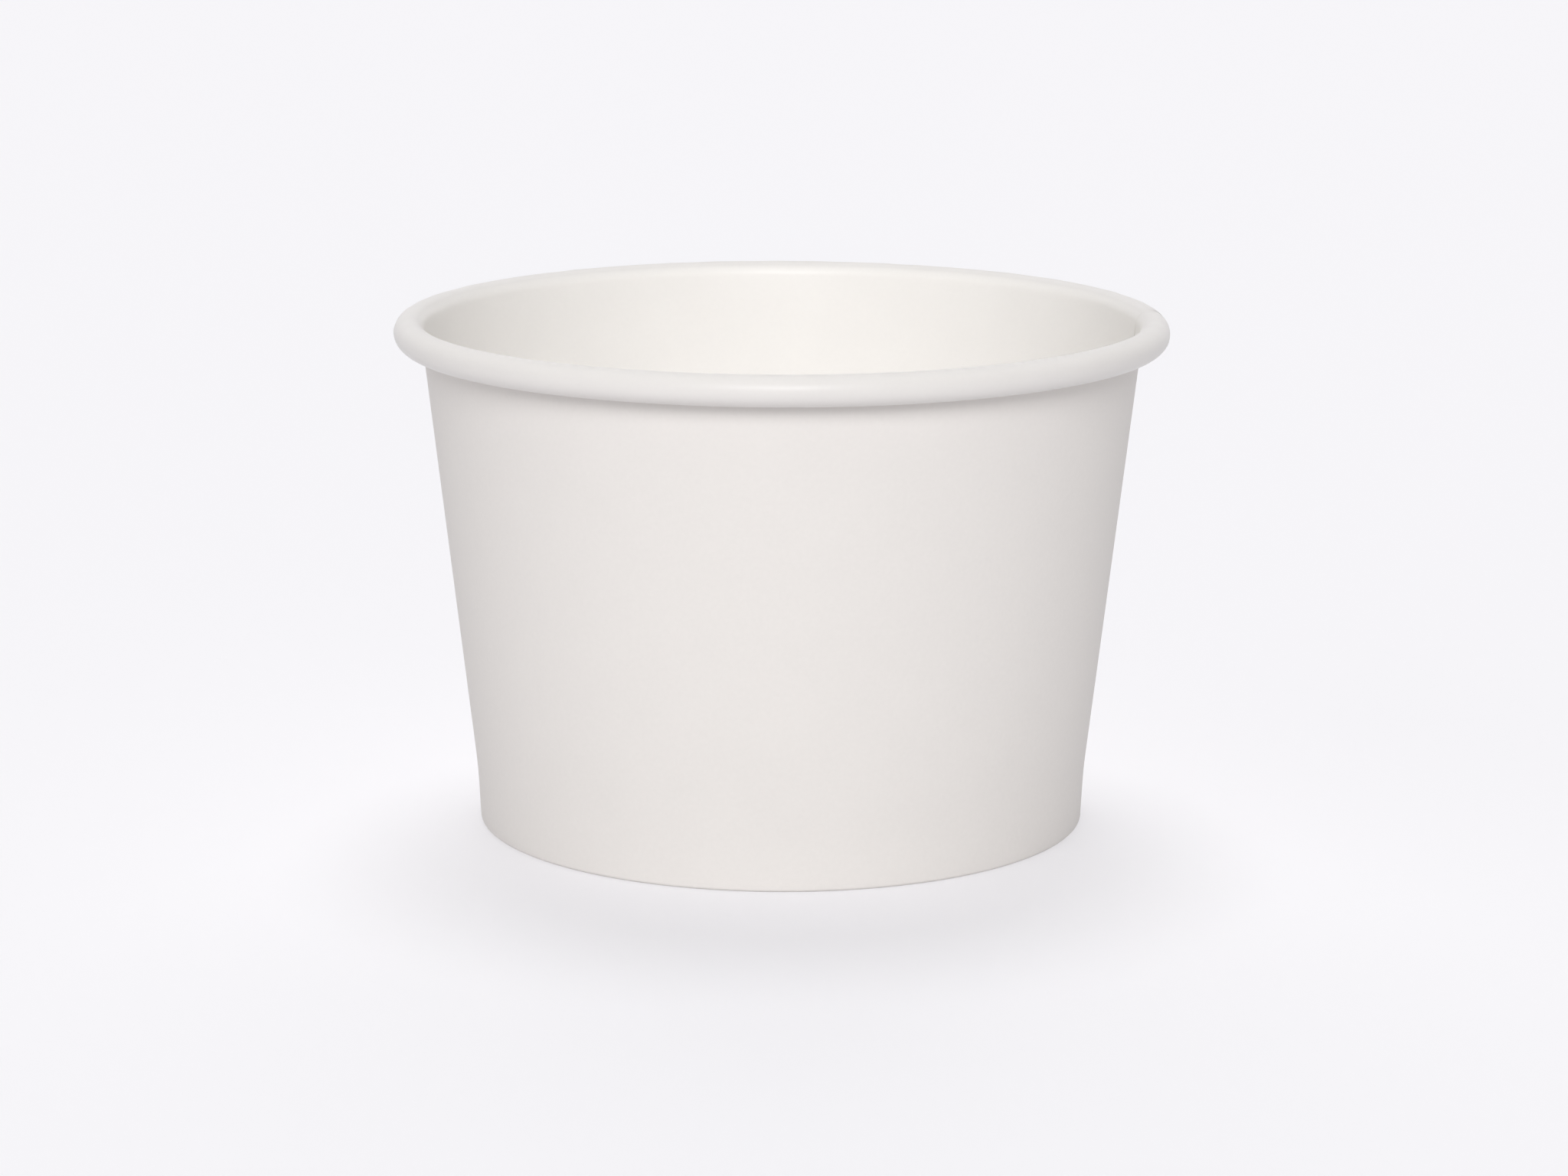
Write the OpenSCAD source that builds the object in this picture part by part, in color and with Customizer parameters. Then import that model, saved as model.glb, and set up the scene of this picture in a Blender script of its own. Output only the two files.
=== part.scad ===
// Paper tub for ice cream or soup: a lapped sidewall with a rolled rim, and a base disc sealed into its foot.
// Millimetres, +Z up, with the origin on the table under the middle of the tub.

/* [Tub] */
// Diameter over the rolled rim
rim_d = 95; // [88:0.5:115]
// Height from the table to the top of the rim
height = 63; // [45:0.5:120]
// Diameter of the foot where it meets the table
foot_d = 75; // [60:0.5:80]

/* [Board] */
// Thickness of the sidewall board
wall_t = 0.4; // [0.3:0.02:0.5]
// Thickness of the base board
base_t = 0.4; // [0.3:0.02:0.5]
// Film of sealant on each face of the base skirt
seal_gap = 0.02; // [0.01:0.01:0.06]

/* [Rolled rim] */
// Diameter of the roll's section
roll_d = 3.7; // [3.2:0.1:5]
// Gap between the wall and the edge tucked inside the roll
tuck_gap = 0.1; // [0.06:0.02:0.2]
// Angle through which that edge tucks up, in degrees
tuck_angle = 120; // [60:5:130]

/* [Foot] */
// Height of the sealed band round the foot
band_h = 6.5; // [5:0.1:10]
// Outward lean of the sealed band, in degrees
band_lean = 3; // [0:0.5:4]
// Length of the bend into the wall, above and below the top of the band
bend_run = 2; // [0.5:0.1:4]

/* [Base disc] */
// Height of the disc's upper face above the table
disc_z = 7.2; // [5:0.1:12]
// Outer radius of the bend from the disc into its skirt
skirt_bend_r = 1; // [0.8:0.1:2]
// Distance from the wall's turned-in edge up to that bend
turn_in_gap = 0.2; // [0.1:0.1:1]

/* [Side seam] */
// Direction of the outer lap edge, in degrees from +X
seam_angle = 15; // [0:5:355]
// Width of the lap between its outer and inner edges
lap_w = 7.5; // [6:0.5:12]
// Depth to which the two ends are pressed into each other at the lap
lap_press = 0.06; // [0.02:0.01:0.1]
// Depth of the step at the inner lap edge
inner_step = 0.2; // [0.1:0.02:0.24]

/* [Hidden] */
$fn = 180;

// Widest turn between two points of an arc, in degrees, and the fewest pieces of an arc
arc_turn = 7.5;
arc_pieces = 4;

wall_white = [0.93, 0.918, 0.906];
base_white = [0.95, 0.94, 0.925];

foot_r = foot_d / 2;
roll_r = roll_d / 2;
roll_c = [rim_d / 2 - roll_r, height - roll_r];
band_top = on_band(0, band_h);

// The wall's outer face runs from the top of the band and meets the hollow of the roll at a tangent
roll_way = roll_c - band_top;
wall_lean = 90 - atan2(roll_way[1], roll_way[0]) - asin((roll_r - wall_t) / norm(roll_way));

// The edge tucked inside the roll keeps its gap from the wall
tuck_r = roll_r - (wall_t + tuck_gap) / (1 + sin(wall_lean));
tuck_c = roll_c - [0, roll_r - tuck_r];

// The bend between the band and the wall turns about a ring outside the tub
bend_r = bend_run / tan((wall_lean - band_lean) / 2);
bend_start = band_top - bend_run * [sin(band_lean), cos(band_lean)];
bend_c = bend_start + bend_r * [cos(band_lean), -sin(band_lean)];

// The foot is three boards thick, with the base skirt between the wall and its turned-in edge
fold_r = wall_t;
slot_w = base_t + 2 * seal_gap;
ring_w = wall_t + slot_w + wall_t;
turn_in_z = disc_z - skirt_bend_r - turn_in_gap;

skirt_face = wall_t + seal_gap;
skirt_bend_c = on_band(skirt_face + skirt_bend_r, disc_z - skirt_bend_r);

// The lap runs from the top of the bend to the underside of the roll, measured up the slope of the wall
lap_run = (height - roll_d - band_h) / cos(wall_lean) - bend_run;
mid_r = on_wall(0, height / 2)[0];

// The outer end leaves the wall as a flat strip, from a little below the wall's face to its own edge
outer_step = wall_t - lap_press;
lap_sink = wall_t / 10;
strip_w = sqrt(2 * mid_r * (outer_step + lap_sink));
strip_angle = seam_angle - atan(strip_w / mid_r);

// Behind the inner edge a flat cut runs out through the wall's inner face, a little steeper than a graze
graze_ratio = 1.15;
room_angle = seam_angle - lap_w / mid_r * 180 / PI;
room_turn = asin(graze_ratio * sqrt(2 * inner_step / mid_r));
room_w = mid_r * sin(room_turn);

// Point at a height on the band or on the wall, a distance in from its outer face
function on_band(inset, z) = [foot_r + z * tan(band_lean) - inset / cos(band_lean), z];
function on_wall(inset, z) = band_top + [(z - band_h) * tan(wall_lean) - inset / cos(wall_lean), z - band_h];

// Points of an arc from one angle to another, both ends included
function arc(c, r, from, to) =
    let (n = max(arc_pieces, ceil(abs(to - from) / arc_turn)))
    [for (i = [0:n]) let (a = from + (to - from) * i / n) c + r * [cos(a), sin(a)]];

// An arc that goes on from the point before it
function arc_on(c, r, from, to) = let (p = arc(c, r, from, to)) [for (i = [1:len(p) - 1]) p[i]];

// The wall's bend above the band, from below, a distance in from its outer face
function bend(inset) = arc(bend_c, bend_r + inset, 180 - band_lean, 180 - wall_lean);
function bend_down(inset) = arc(bend_c, bend_r + inset, 180 - wall_lean, 180 - band_lean);

// One sheet of board: turned-in edge, folds at the table, band, wall, roll and tucked edge
module board_section() {
    polygon(concat(
        [on_band(ring_w, turn_in_z)],
        arc(on_band(ring_w - fold_r, fold_r), fold_r, 180 - band_lean, 270),
        arc(on_band(fold_r, fold_r), fold_r, 270, 360 - band_lean),
        bend(0),
        arc(roll_c, roll_r - wall_t, 180 - wall_lean, -90),
        arc_on(tuck_c, tuck_r - wall_t, -90, -90 - tuck_angle),
        arc(tuck_c, tuck_r, -90 - tuck_angle, -90),
        arc_on(roll_c, roll_r, -90, 180 - wall_lean),
        bend_down(wall_t),
        [on_band(wall_t, wall_t), on_band(wall_t + slot_w, wall_t), on_band(wall_t + slot_w, turn_in_z)]
    ));
}

// Puts its children on the wall at an angle: X out of the wall, Y round it and Z up its slope from the band
module on_slope(angle, inset) {
    foot = on_wall(inset, band_h);
    rotate(angle)
        translate([foot[0], 0, foot[1]])
            rotate([0, wall_lean, 0])
                children();
}

// Everything inside the middle of the wall's board
module wall_core() {
    rotate_extrude()
        polygon([[0, 0], on_wall(wall_t / 2, 0), on_wall(wall_t / 2, height), [0, height]]);
}

// The board's outer end, lying over its inner end
module outer_lap() {
    difference() {
        on_slope(strip_angle, 0)
            translate([-wall_t - lap_sink, 0, bend_run])
                cube([wall_t, strip_w, lap_run]);
        wall_core();
    }
}

// Room behind the board's inner edge
module inner_lap_room() {
    on_slope(room_angle, wall_t)
        translate([inner_step, 0, bend_run])
            rotate(-room_turn)
                translate([-2 * wall_t, -room_w, 0])
                    cube([2 * wall_t, room_w, lap_run]);
}

module sidewall() {
    color(wall_white)
        difference() {
            union() {
                rotate_extrude()
                    board_section();
                outer_lap();
            }
            inner_lap_room();
        }
}

// One sheet of board: flat disc, bend and skirt
module base_disc() {
    color(base_white)
        rotate_extrude()
            polygon(concat(
                [[0, disc_z]],
                arc(skirt_bend_c, skirt_bend_r, 90, -band_lean),
                [on_band(skirt_face, wall_t + seal_gap), on_band(skirt_face + base_t, wall_t + seal_gap)],
                arc(skirt_bend_c, skirt_bend_r - base_t, -band_lean, 90),
                [[0, disc_z - base_t]]
            ));
}

sidewall();
base_disc();
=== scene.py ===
"""Paper tub: one sheet of white paperboard lapped into a cone, rolled over at the rim and folded in at the
foot round the skirt of a base disc. Sections are drawn in millimetres, and the meshes are in metres."""

import math

import bpy
import numpy as np
from mathutils import Matrix, Vector


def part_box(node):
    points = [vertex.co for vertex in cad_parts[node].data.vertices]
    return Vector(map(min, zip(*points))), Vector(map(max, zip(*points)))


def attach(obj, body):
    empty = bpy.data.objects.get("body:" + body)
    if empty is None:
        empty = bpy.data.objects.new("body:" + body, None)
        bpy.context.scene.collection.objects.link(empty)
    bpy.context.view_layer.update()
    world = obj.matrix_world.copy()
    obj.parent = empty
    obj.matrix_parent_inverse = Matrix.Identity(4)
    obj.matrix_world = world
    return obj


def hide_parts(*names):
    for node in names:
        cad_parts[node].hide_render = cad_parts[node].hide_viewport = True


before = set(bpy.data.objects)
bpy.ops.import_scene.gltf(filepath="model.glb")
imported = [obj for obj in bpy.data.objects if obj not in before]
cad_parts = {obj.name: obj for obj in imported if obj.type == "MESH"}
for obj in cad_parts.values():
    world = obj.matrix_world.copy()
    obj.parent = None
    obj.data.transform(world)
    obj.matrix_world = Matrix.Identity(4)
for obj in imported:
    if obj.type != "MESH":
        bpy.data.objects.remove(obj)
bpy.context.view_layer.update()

MM = 0.001

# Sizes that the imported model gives
side_low, side_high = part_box("sidewall")
_, disc_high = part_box("base_disc")
RIM_R = (side_high.x - side_low.x) / 2 / MM
HEIGHT = side_high.z / MM
DISC_Z = disc_high.z / MM

# Board, foot, rim and base disc
FOOT_R = 37.5
BOARD = 0.4
SEAL_GAP = 0.02
BAND_H = 6.5
BAND_LEAN = math.radians(3)
BEND_RUN = 2
CREASE_R = 0.05
ROLL_R = 1.85
TUCK_GAP = 0.1
TUCK_TURN = math.radians(120)
SKIRT_BEND_R = 1
TURN_IN_GAP = 0.2

# Side seam, with the outer lap edge at this angle from +X
SEAM_ANGLE = math.radians(15)
LAP_W = 7.5
# Gap between the lapped layers, and how far the outer one stands proud of the wall
LAP_GAP = 0.01
LAP_RISE = 0.34
# Lengths round the tub in which the outer layer climbs, and in which the inner one gets thick again
LAP_RAMP = 5
LAP_RECOVER = 1
# The lap is pressed down over this length below the roll, and stands proud by this much on it
LAP_FADE = 8
ROLL_LAP_RISE = 0.04
# Towards the roll and on it the inner layer thins to this edge within this width
ROLL_EDGE = 0.01
ROLL_EDGE_W = 2.5
# Length past the lap in which the swelling of the roll dies out
ROLL_RECOVER = 5

# Knurl pressed into the turned-in edge of the foot, clear of its ends by a margin
KNURLS = 120
KNURL_DEPTH = 0.09
KNURL_MARGIN = 0.7

# Unevenness: slow waves in the rim's height, dents in the outer side of the roll, and a crown in the disc
RIM_WAVE = 0.05
RIM_WAVE_COUNTS = (2, 3, 5)
ROLL_DENT = 0.03
ROLL_DENT_COUNTS = (29, 43, 61)
DISC_CROWN = 0.12
SEED = 7
# The dents lie in this many half turns of the roll, from the end of the wall
DENT_HALF_TURNS = 1.4

# Fineness of the meshes along the sheet's section, round the tub and across the disc
SHEET_STEPS = {
    "flap": 8, "inner_fold": 5, "flat": 2, "outer_fold": 5, "band": 5,
    "bend": 5, "wall": 14, "roll": 36, "tuck": 9,
}
COLUMNS = 480
LAP_COLUMNS = 14
DISC_STEPS = 14
SKIRT_BEND_STEPS = 8
DISC_COLUMNS = 240
SHARP_ANGLE = math.radians(40)

# Order of a piece's materials: its outer or upper face, its other face and its cut edges
FACE, BACK, CUT = range(3)

# Patterns in the paper, with scales in repeats to a metre, and the range in which most of their values lie
FIBRES = {"Scale": 1900, "Detail": 5}
CLOUDS = {"Scale": 140, "Detail": 3}
GRAIN = {"Scale": 600, "Detail": 2}
NOISE_ROUGHNESS = 0.6
NOISE_LOW = 0.3
NOISE_HIGH = 0.7

# How much the clouds darken the paper, and how far they change its roughness
CLOUD_TINT = 0.012
CLOUD_SHEEN = 0.04

# Painted shade on the roll takes over between these radii, counted from the middle of the roll's section
ROLL_PAINTED_SHADE_FROM = -1.75
ROLL_PAINTED_SHADE_TO = -1.1

# Papers, with the depth of their fibres in millimetres
PAPERS = {
    "board_outer": {
        "colour": (0.817, 0.785, 0.756),
        "roughness": 0.58, "gloss": 0.3, "fibre_tint": 0.02, "fibre_depth": 0.006,
    },
    "board_coated": {
        # The roll's colour is painted shade, darker than the coated face that it is made of
        "colour": (0.915, 0.893, 0.868), "painted_roll_shade": (0.787, 0.762, 0.741),
        "roughness": 0.34, "gloss": 0.27, "fibre_tint": 0.012, "fibre_depth": 0.004,
    },
    "board_cut_edge": {
        "colour": (0.78, 0.745, 0.695),
        "roughness": 0.85, "gloss": 0.2, "fibre_tint": 0.12, "fibre_depth": 0.03,
    },
}

# Floor, in metres, and the pale background
FLOOR_HALF = 30
FLOOR_COLOUR = (0.79, 0.783, 0.806)
FLOOR_ROUGHNESS = 0.9
FLOOR_GLOSS = 0.1
FLOOR_GLOW = 0.173
BACKGROUND = (0.922, 0.913, 0.939)

# Light: an even room, a lamp in front, a faint one on the left, and two behind, one of them high.
# The front lamp is in two parts, one for the tub and one for the floor. Angles are in degrees.
ROOM = 0.357
FRONT_LIGHT = {"strength": 1.81, "spread": 28, "elevation": 31, "turn": -1}
LAMPS = {
    "front_lamp": {**FRONT_LIGHT, "gloss": True},
    "floor_lamp": {**FRONT_LIGHT, "gloss": False},
    "left_lamp": {"strength": 0.167, "spread": 60, "elevation": 20, "turn": -60, "gloss": False},
    "back_lamp": {"strength": 0.48, "spread": 45, "elevation": 35, "turn": 180, "gloss": False},
    "top_lamp": {"strength": 0.68, "spread": 25, "elevation": 70, "turn": 180, "gloss": False},
}

# Camera that took the photograph, found from the tub's edges in it, in metres and radians.
# The focal length is in pixels of the photograph, and the sensor is in millimetres.
CAMERA_AT = Vector((0, -0.55568, 0.14855))
CAMERA_PITCH = 0.21268
CAMERA_YAW = 0.0006
CAMERA_ROLL = 0.0026
FOCAL_PIXELS = 5976
IMAGE_W = 2048
SENSOR_W = 36


def direction(angle):
    """Unit vectors at angles in a section's plane, from its radius axis."""
    return np.stack([np.cos(angle), np.sin(angle)], -1)


def smooth(share):
    """Eases from 0 to 1."""
    t = np.clip(share, 0, 1)
    return t * t * (3 - 2 * t)


def on_band(inset, z):
    """Point of the sealed band at a height, a distance in from its outer face."""
    return np.array([FOOT_R + z * math.tan(BAND_LEAN) - inset / math.cos(BAND_LEAN), z])


def line(start, end, count):
    """Pairs of points on the board's outer and inner faces along a straight run, without its last pair."""
    share = np.linspace(0, 1, count, endpoint=False)[:, None]
    return [a + (b - a) * share for a, b in zip(start, end)]


def arc(centre, outer_r, inner_r, start, end, count, last=False):
    """Pairs of points on the board's outer and inner faces round a bend, with or without its last pair."""
    turn = direction(np.linspace(start, end, count + last, endpoint=last))
    return [centre + outer_r * turn, centre + inner_r * turn]


def round_at(centre, outer_r, inner_r, angle):
    """The pair of points on the board's outer and inner faces at one angle of a bend."""
    return [centre + outer_r * direction(angle), centre + inner_r * direction(angle)]


def wall_slope():
    """Top of the band, middle of the roll's section, and the lean of the wall that runs between them."""
    band_top = on_band(0, BAND_H)
    roll_c = np.array([RIM_R - ROLL_R, HEIGHT - ROLL_R])
    way = roll_c - band_top
    lean = math.pi / 2 - math.atan2(way[1], way[0]) - math.asin((ROLL_R - BOARD) / np.linalg.norm(way))
    return band_top, roll_c, lean


def foot_runs(bend):
    """The sheet from its turned-in edge, round the folds at the table and up the band to its bend."""
    fold_r = BOARD + CREASE_R
    ring_w = 3 * BOARD + 2 * SEAL_GAP
    turn_in_z = DISC_Z - SKIRT_BEND_R - TURN_IN_GAP
    inner_fold = (on_band(ring_w - fold_r, fold_r), fold_r, CREASE_R)
    outer_fold = (on_band(fold_r, fold_r), fold_r, CREASE_R)
    flap_top = [on_band(ring_w, turn_in_z), on_band(ring_w - BOARD, turn_in_z)]
    flap_foot = round_at(*inner_fold, math.pi - BAND_LEAN)
    down = -math.pi / 2
    band_foot = round_at(*outer_fold, -BAND_LEAN)
    band_end = round_at(*bend, math.pi - BAND_LEAN)
    return {
        "flap": line(flap_top, flap_foot, SHEET_STEPS["flap"]),
        "inner_fold": arc(*inner_fold, math.pi - BAND_LEAN, 3 * math.pi / 2, SHEET_STEPS["inner_fold"]),
        "flat": line(round_at(*inner_fold, down), round_at(*outer_fold, down), SHEET_STEPS["flat"]),
        "outer_fold": arc(*outer_fold, down, -BAND_LEAN, SHEET_STEPS["outer_fold"]),
        "band": line(band_foot, band_end, SHEET_STEPS["band"]),
    }


def rim_runs(bend, roll_c, lean):
    """The sheet from its bend up the wall, and round the roll to its tucked edge."""
    roll = (roll_c, ROLL_R - BOARD, ROLL_R)
    tuck_r = ROLL_R - (BOARD + TUCK_GAP) / (1 + math.sin(lean))
    tuck = (roll_c - [0, ROLL_R - tuck_r], tuck_r - BOARD, tuck_r)
    wall_foot = round_at(*bend, math.pi - lean)
    wall_end = round_at(*roll, math.pi - lean)
    down = -math.pi / 2
    return {
        "bend": arc(*bend, math.pi - BAND_LEAN, math.pi - lean, SHEET_STEPS["bend"]),
        "wall": line(wall_foot, wall_end, SHEET_STEPS["wall"]),
        "roll": arc(*roll, math.pi - lean, down, SHEET_STEPS["roll"]),
        "tuck": arc(*tuck, down, down - TUCK_TURN, SHEET_STEPS["tuck"], last=True),
    }


def board_section():
    """The sheet from its turned-in edge, round the foot, up the wall and round the roll to its tucked edge.
    Gives the points of its outer and inner faces and the index at which each run of it starts."""
    band_top, roll_c, lean = wall_slope()
    bend_r = BEND_RUN / math.tan((lean - BAND_LEAN) / 2)
    bend_from = band_top - BEND_RUN * direction(math.pi / 2 - BAND_LEAN)
    bend = (bend_from + bend_r * direction(-BAND_LEAN), bend_r, bend_r + BOARD)

    runs = {**foot_runs(bend), **rim_runs(bend, roll_c, lean)}
    starts = dict(zip(runs, np.cumsum([0] + [len(outer) for outer, _ in runs.values()])))
    outer, inner = (np.concatenate(side) for side in zip(*runs.values()))
    return outer, inner, starts


def on_roll(past_wall):
    """A column that eases from 0 at the end of the wall to 1 on the roll."""
    return smooth(past_wall / ROLL_R)[:, None]


def lap_offsets(way, starts, along, girth):
    """How far the sheet's inner face is lifted off its section, and how thick the sheet is.
    Each has a row for each place on the way along the section and a column for each place round the tub."""
    over = smooth((along - girth + LAP_RAMP) / LAP_RAMP)
    under = 1 - smooth((along - LAP_W) / LAP_RECOVER)
    swell = np.maximum(over, 1 - smooth((along - LAP_W) / ROLL_RECOVER))

    # The lap is flush where the foot is folded
    band_at, wall_at, roll_at = (way[starts[run]] for run in ("band", "wall", "roll"))
    places = (band_at, wall_at, roll_at - LAP_FADE, roll_at)
    rise = np.interp(way, places, (0, LAP_RISE, LAP_RISE, ROLL_LAP_RISE))[:, None]
    thinned = smooth((way - roll_at) / LAP_FADE + 1)[:, None]
    layer = (BOARD + rise - LAP_GAP) / 2

    # Towards the roll and on it the inner end is pressed thin at its edge, and the outer end lies on it
    past_edge = np.where(along > girth / 2, along - girth, along)
    pressed = layer + (ROLL_EDGE - layer) * thinned * (1 - smooth(past_edge / ROLL_EDGE_W))
    lift = (pressed + LAP_GAP) * over
    thick = BOARD + np.minimum((pressed - BOARD) * under, rise * over - lift)
    return lift - rise / 2 * on_roll(way - roll_at) * swell, thick


def waves(angle, counts, rng):
    """Sum of a few sine waves round the tub, each with its own phase, from about -1 to 1."""
    phases = rng.uniform(0, 2 * math.pi, len(counts))
    return sum(np.sin(n * angle + p) for n, p in zip(counts, phases)) / len(counts)


def rim_unevenness(past_wall, angle):
    """How far the roll wanders in height, and how far its outer side swells out or, below 0, is dented."""
    rng = np.random.default_rng(SEED)
    wander = RIM_WAVE * waves(angle, RIM_WAVE_COUNTS, rng) * on_roll(past_wall)
    roll_turn = past_wall[:, None] / ROLL_R
    dented = on_roll(past_wall) * np.sin(np.clip(roll_turn / DENT_HALF_TURNS, 0, math.pi)) ** 2
    return wander, ROLL_DENT * waves(angle, ROLL_DENT_COUNTS, rng) * dented


def knurl_depth(outer, starts, turn):
    """Depth of the knurl in the face that the turned-in edge shows."""
    height = outer[:, 1]
    knurled = smooth((height - KNURL_MARGIN) / KNURL_MARGIN)
    knurled = knurled * smooth((height[starts["flap"]] - height) / KNURL_MARGIN)
    knurled[starts["inner_fold"]:] = 0
    return KNURL_DEPTH * knurled[:, None] * (1 - np.cos(KNURLS * turn)) / 2


def sheet_faces(count, columns):
    """Faces of the swept sheet, and the material of each. A column of points is a ring round the board's
    section, out along its outer face and back along its inner one, and the sheet's two ends are closed."""
    size = 2 * count
    column = np.arange(columns - 1)[:, None] * size
    here = np.arange(size)[None, :]
    after = (here + 1) % size
    sides = np.stack([column + after, column + here, column + size + here, column + size + after], -1)
    step = np.arange(count - 1)
    cap = np.stack([step, step + 1, size - 2 - step, size - 1 - step], -1)
    far_cap = cap[:, ::-1] + (columns - 1) * size
    faces = np.concatenate([sides.reshape(-1, 4), cap, far_cap])

    side_material = np.full(size, FACE)
    side_material[count:] = BACK
    side_material[[count - 1, size - 1]] = CUT
    face_material = np.concatenate([np.tile(side_material, columns - 1), np.full(2 * len(cap), CUT)])
    return faces.tolist(), face_material


def make_object(name, points, faces, materials, face_material):
    """A smooth-shaded mesh object, with the corners of the board left sharp."""
    mesh = bpy.data.meshes.new(name)
    mesh.from_pydata((points * MM).tolist(), [], faces)
    for material in materials:
        mesh.materials.append(material)
    mesh.polygons.foreach_set("material_index", np.asarray(face_material, np.int32))
    mesh.shade_smooth()
    mesh.set_sharp_from_angle(angle=SHARP_ANGLE)
    mesh.validate()
    made = bpy.data.objects.new(name, mesh)
    bpy.context.scene.collection.objects.link(made)
    return made


def make_sidewall(materials):
    """The sheet, swept once round the tub and on over its own first edge."""
    outer, inner, starts = board_section()
    normal = (outer - inner) / np.linalg.norm(outer - inner, axis=1)[:, None]
    middle = (outer + inner) / 2
    way = np.concatenate([[0], np.cumsum(np.linalg.norm(np.diff(middle, axis=0), axis=1))])
    mid_r = middle[starts["wall"]:starts["roll"], 0].mean()

    # The sweep starts at the inner lap edge
    lap_turn = LAP_W / mid_r
    turn = np.concatenate([
        np.linspace(0, 2 * math.pi, COLUMNS + 1),
        2 * math.pi + np.linspace(0, lap_turn, LAP_COLUMNS + 1)[1:],
    ])
    angle = SEAM_ANGLE - lap_turn + turn
    lift, thick = lap_offsets(way, starts, turn * mid_r, 2 * math.pi * mid_r)
    wander, dent = rim_unevenness(way - way[starts["roll"]], angle)

    def swept(offset):
        section = inner[:, None] + normal[:, None] * offset[:, :, None]
        radius = section[:, :, 0]
        height = section[:, :, 1] + wander
        return np.stack([radius * np.cos(angle), radius * np.sin(angle), height], -1)

    outer_side = swept(lift + thick - knurl_depth(outer, starts, turn))
    inner_side = swept(lift - dent)
    ring = np.concatenate([outer_side, inner_side[::-1]])
    points = ring.transpose(1, 0, 2).reshape(-1, 3)
    faces, face_material = sheet_faces(len(outer), len(turn))
    return make_object("tub_sidewall", points, faces, materials, face_material)


def disc_section():
    """The base board from near the middle of its upper face, over the bend to the end of its skirt, and back.
    Gives its points, and how many of them are on the upper face."""
    face = BOARD + SEAL_GAP
    skirt_z = BOARD + SEAL_GAP
    bend_c = on_band(face + SKIRT_BEND_R, DISC_Z - SKIRT_BEND_R)
    disc_r = bend_c[0] * np.linspace(0, 1, DISC_STEPS + 1)[1:-1]
    top = np.stack([disc_r, np.full_like(disc_r, DISC_Z)], -1)
    bend_top, bend_under = arc(
        bend_c, SKIRT_BEND_R, SKIRT_BEND_R - BOARD, math.pi / 2, -BAND_LEAN, SKIRT_BEND_STEPS, last=True
    )
    upper = np.concatenate([top, bend_top, [on_band(face, skirt_z)]])
    lower = np.concatenate([top - [0, BOARD], bend_under, [on_band(face + BOARD, skirt_z)]])
    section = np.concatenate([upper, lower[::-1]])
    section[:, 1] += DISC_CROWN * (1 - smooth(section[:, 0] / bend_c[0]))
    return section, len(upper)


def disc_faces(size, upper_count):
    """Faces of the base board, and the material of each. Two fans close its middle, above and below."""
    first = np.arange(DISC_COLUMNS)[:, None] * size
    second = np.roll(first, -1, axis=0)
    step = np.arange(size - 1)
    sides = np.stack([first + step, first + step + 1, second + step + 1, second + step], -1)
    top_pole = np.full_like(first, DISC_COLUMNS * size)
    top_fan = np.hstack([first, second, top_pole])
    under_fan = np.hstack([second + size - 1, first + size - 1, top_pole + 1])
    faces = sides.reshape(-1, 4).tolist() + top_fan.tolist() + under_fan.tolist()

    side_material = np.full(size - 1, FACE)
    side_material[upper_count:] = BACK
    side_material[upper_count - 1] = CUT
    face_material = np.concatenate([
        np.tile(side_material, DISC_COLUMNS), np.full(DISC_COLUMNS, FACE), np.full(DISC_COLUMNS, BACK)
    ])
    return faces, face_material


def make_base(materials):
    """The base board: a flat disc bent down into the skirt that the foot holds."""
    section, upper_count = disc_section()
    angle = np.arange(DISC_COLUMNS) * 2 * math.pi / DISC_COLUMNS
    radius = section[:, 0]
    rings = np.stack([
        radius * np.cos(angle)[:, None],
        radius * np.sin(angle)[:, None],
        np.broadcast_to(section[:, 1], (DISC_COLUMNS, len(section))),
    ], -1)
    poles = np.array([[0, 0, DISC_Z + DISC_CROWN], [0, 0, DISC_Z - BOARD + DISC_CROWN]])
    points = np.concatenate([rings.reshape(-1, 3), poles])
    faces, face_material = disc_faces(len(section), upper_count)
    return make_object("tub_base", points, faces, materials, face_material)


def add_node(tree, kind, **values):
    """A new node with values on its sockets, in whose names _ stands for a space."""
    node = tree.nodes.new(kind)
    for socket, value in values.items():
        node.inputs[socket.replace("_", " ")].default_value = value
    return node


def combined(tree, operation, first, second):
    """Output of a Math node that takes two others."""
    node = tree.nodes.new("ShaderNodeMath")
    node.operation = operation
    tree.links.new(first, node.inputs[0])
    tree.links.new(second, node.inputs[1])
    return node.outputs[0]


def mixed(tree, share, first, second):
    """A colour that goes from the first to the second as the share goes from 0 to 1."""
    mix = tree.nodes.new("ShaderNodeMix")
    mix.data_type = "RGBA"
    tree.links.new(share, mix.inputs["Factor"])
    ends = [socket for socket in mix.inputs if socket.type == "RGBA"]
    for end, colour in zip(ends, (first, second)):
        end.default_value = (*colour, 1)
    return next(socket for socket in mix.outputs if socket.type == "RGBA")


def pattern(tree, place, settings):
    """A noise pattern in the paper."""
    texture = add_node(tree, "ShaderNodeTexNoise", Roughness=NOISE_ROUGHNESS, **settings)
    tree.links.new(place, texture.inputs["Vector"])
    return texture.outputs["Fac"]


def stretched(tree, source, low, high):
    """A pattern stretched over the range from low to high."""
    ranged = add_node(
        tree, "ShaderNodeMapRange", From_Min=NOISE_LOW, From_Max=NOISE_HIGH, To_Min=low, To_Max=high
    )
    tree.links.new(source, ranged.inputs["Value"])
    return ranged.outputs["Result"]


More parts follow.
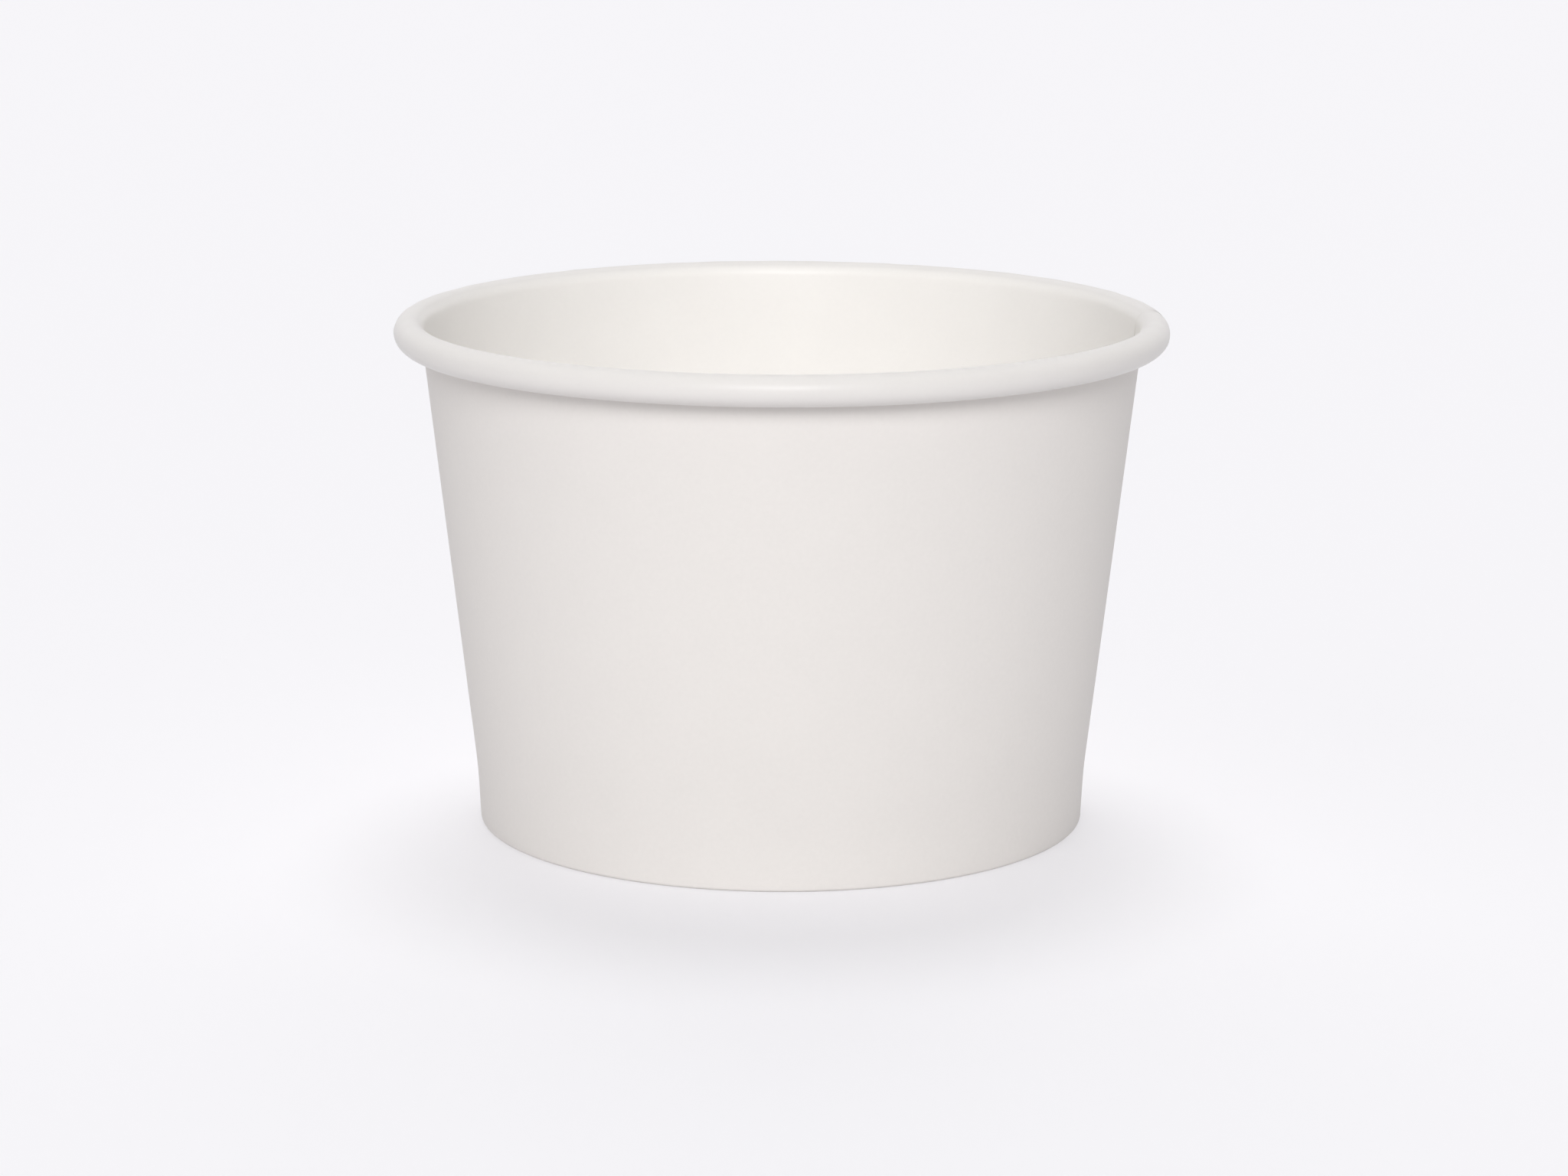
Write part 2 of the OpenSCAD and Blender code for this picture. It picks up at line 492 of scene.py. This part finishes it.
def roll_shade_share(tree, place):
    """Share of the roll's painted shade: 0 on the wall and 1 on the roll, by the distance from the tub's
    axis.
    """
    level = tree.nodes.new("ShaderNodeVectorMath")
    level.operation = "MULTIPLY"
    level.inputs[1].default_value = (1, 1, 0)
    tree.links.new(place, level.inputs[0])
    radius = tree.nodes.new("ShaderNodeVectorMath")
    radius.operation = "LENGTH"
    tree.links.new(level.outputs["Vector"], radius.inputs[0])
    roll_at = RIM_R - ROLL_R
    turned = add_node(
        tree, "ShaderNodeMapRange",
        From_Min=(roll_at + ROLL_PAINTED_SHADE_FROM) * MM, From_Max=(roll_at + ROLL_PAINTED_SHADE_TO) * MM,
    )
    tree.links.new(radius.outputs["Value"], turned.inputs["Value"])
    return turned.outputs["Result"]


def paper(name, colour, roughness, gloss, fibre_tint, fibre_depth, painted_roll_shade=None):
    """Paperboard: short fibres and cloudy formation in its colour, sheen and surface.
    The roll's painted shade, a darker colour than the coated face, takes over where it turns outwards."""
    material = bpy.data.materials.new(name)
    material.use_nodes = True
    tree = material.node_tree
    shader = tree.nodes["Principled BSDF"]
    shader.inputs["Specular IOR Level"].default_value = gloss
    place = tree.nodes.new("ShaderNodeTexCoord").outputs["Object"]
    fibres, clouds, grain = (pattern(tree, place, settings) for settings in (FIBRES, CLOUDS, GRAIN))

    fibre_shade = stretched(tree, fibres, 1 - fibre_tint, 1)
    cloud_shade = stretched(tree, clouds, 1 - CLOUD_TINT, 1)
    tint = tree.nodes.new("ShaderNodeVectorMath")
    tint.operation = "SCALE"
    tint.inputs["Vector"].default_value = colour
    tree.links.new(combined(tree, "MULTIPLY", fibre_shade, cloud_shade), tint.inputs["Scale"])
    # Painted shade: the roll is darker than the coated face that it is made of
    if painted_roll_shade:
        colour_with_roll_shade = mixed(tree, roll_shade_share(tree, place), colour, painted_roll_shade)
        tree.links.new(colour_with_roll_shade, tint.inputs["Vector"])
    tree.links.new(tint.outputs["Vector"], shader.inputs["Base Color"])

    sheen = stretched(tree, clouds, roughness - CLOUD_SHEEN, roughness + CLOUD_SHEEN)
    tree.links.new(sheen, shader.inputs["Roughness"])

    bump = add_node(tree, "ShaderNodeBump", Strength=1, Distance=fibre_depth * MM)
    tree.links.new(combined(tree, "ADD", fibres, grain), bump.inputs["Height"])
    tree.links.new(bump.outputs["Normal"], shader.inputs["Normal"])
    return material


def looked_at(tree):
    """1 for rays from the camera, direct or by way of gloss or glass, and 0 for rays that light things."""
    path = tree.nodes.new("ShaderNodeLightPath")
    seen = path.outputs["Is Camera Ray"]
    for kind in ("Is Glossy Ray", "Is Transmission Ray"):
        seen = combined(tree, "MAXIMUM", seen, path.outputs[kind])
    return seen


def make_floor():
    """A wide pale floor, lifted a little towards white where it is looked at."""
    mesh = bpy.data.meshes.new("floor")
    corners = [(x * FLOOR_HALF, y * FLOOR_HALF, 0) for x, y in ((-1, -1), (1, -1), (1, 1), (-1, 1))]
    mesh.from_pydata(corners, [], [(0, 1, 2, 3)])
    material = bpy.data.materials.new("floor_paint")
    material.use_nodes = True
    tree = material.node_tree
    shader = tree.nodes["Principled BSDF"]
    shader.inputs["Base Color"].default_value = (*FLOOR_COLOUR, 1)
    shader.inputs["Roughness"].default_value = FLOOR_ROUGHNESS
    shader.inputs["Specular IOR Level"].default_value = FLOOR_GLOSS
    shader.inputs["Emission Color"].default_value = (*BACKGROUND, 1)
    glow = tree.nodes.new("ShaderNodeMath")
    glow.operation = "MULTIPLY"
    glow.inputs[1].default_value = FLOOR_GLOW
    tree.links.new(looked_at(tree), glow.inputs[0])
    tree.links.new(glow.outputs[0], shader.inputs["Emission Strength"])
    mesh.materials.append(material)
    floor = bpy.data.objects.new("floor", mesh)
    bpy.context.scene.collection.objects.link(floor)
    return floor


def make_lamp(name, strength, spread, elevation, turn, gloss):
    """A wide, far lamp. A turn of 0 is in front of the tub, and 90 on its right.
    Without gloss it makes no highlights."""
    lamp = bpy.data.lights.new(name, "SUN")
    lamp.energy = strength
    lamp.angle = math.radians(spread)
    sun = bpy.data.objects.new(name, lamp)
    sun.visible_glossy = gloss
    bpy.context.scene.collection.objects.link(sun)
    rise, round_tub = math.radians(elevation), math.radians(turn)
    level = math.cos(rise)
    to_sun = Vector((math.sin(round_tub) * level, -math.cos(round_tub) * level, math.sin(rise)))
    sun.rotation_mode = "QUATERNION"
    sun.rotation_quaternion = to_sun.to_track_quat("Z", "Y")
    return sun


def light_only(sun, pieces):
    """Keeps a lamp to these pieces."""
    group = bpy.data.collections.new(sun.name + "_pieces")
    for piece in pieces:
        group.objects.link(piece)
    sun.light_linking.receiver_collection = group


def make_world():
    """Dim even light, with the pale background for what looks past the floor's edge."""
    world = bpy.data.worlds.new("room")
    bpy.context.scene.world = world
    world.use_nodes = True
    tree = world.node_tree
    shade = mixed(tree, looked_at(tree), (ROOM, ROOM, ROOM), BACKGROUND)
    tree.links.new(shade, tree.nodes["Background"].inputs["Color"])


def make_camera():
    """The photograph's camera, which looks along +Y but for its yaw and pitch, and is rolled a little."""
    data = bpy.data.cameras.new("camera")
    data.sensor_fit = "HORIZONTAL"
    data.sensor_width = SENSOR_W
    data.lens = SENSOR_W * FOCAL_PIXELS / IMAGE_W
    data.clip_end = 2 * FLOOR_HALF
    level = math.cos(CAMERA_PITCH)
    ahead = Vector((math.sin(CAMERA_YAW) * level, math.cos(CAMERA_YAW) * level, -math.sin(CAMERA_PITCH)))
    right = Vector((math.cos(CAMERA_YAW), -math.sin(CAMERA_YAW), 0))
    up = right.cross(ahead)
    x = math.cos(CAMERA_ROLL) * right + math.sin(CAMERA_ROLL) * up
    y = math.cos(CAMERA_ROLL) * up - math.sin(CAMERA_ROLL) * right
    camera = bpy.data.objects.new("camera", data)
    camera.matrix_world = Matrix.Translation(CAMERA_AT) @ Matrix((x, y, -ahead)).transposed().to_4x4()
    bpy.context.scene.collection.objects.link(camera)
    bpy.context.scene.camera = camera


outer_paper, coated_paper, cut_paper = (paper(name, **settings) for name, settings in PAPERS.items())

sidewall = make_sidewall((outer_paper, coated_paper, cut_paper))
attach(sidewall, "root")
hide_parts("sidewall")

base = make_base((coated_paper, outer_paper, cut_paper))
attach(base, "root")
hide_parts("base_disc")

floor = make_floor()
lamps = {name: make_lamp(name, **settings) for name, settings in LAMPS.items()}

# The floor has the front lamp's light without the shadow that the tub would throw backwards
light_only(lamps["front_lamp"], (sidewall, base))
light_only(lamps["floor_lamp"], (floor,))
lamps["floor_lamp"].data.use_shadow = False
make_world()
make_camera()
bpy.context.scene.view_settings.view_transform = "Standard"
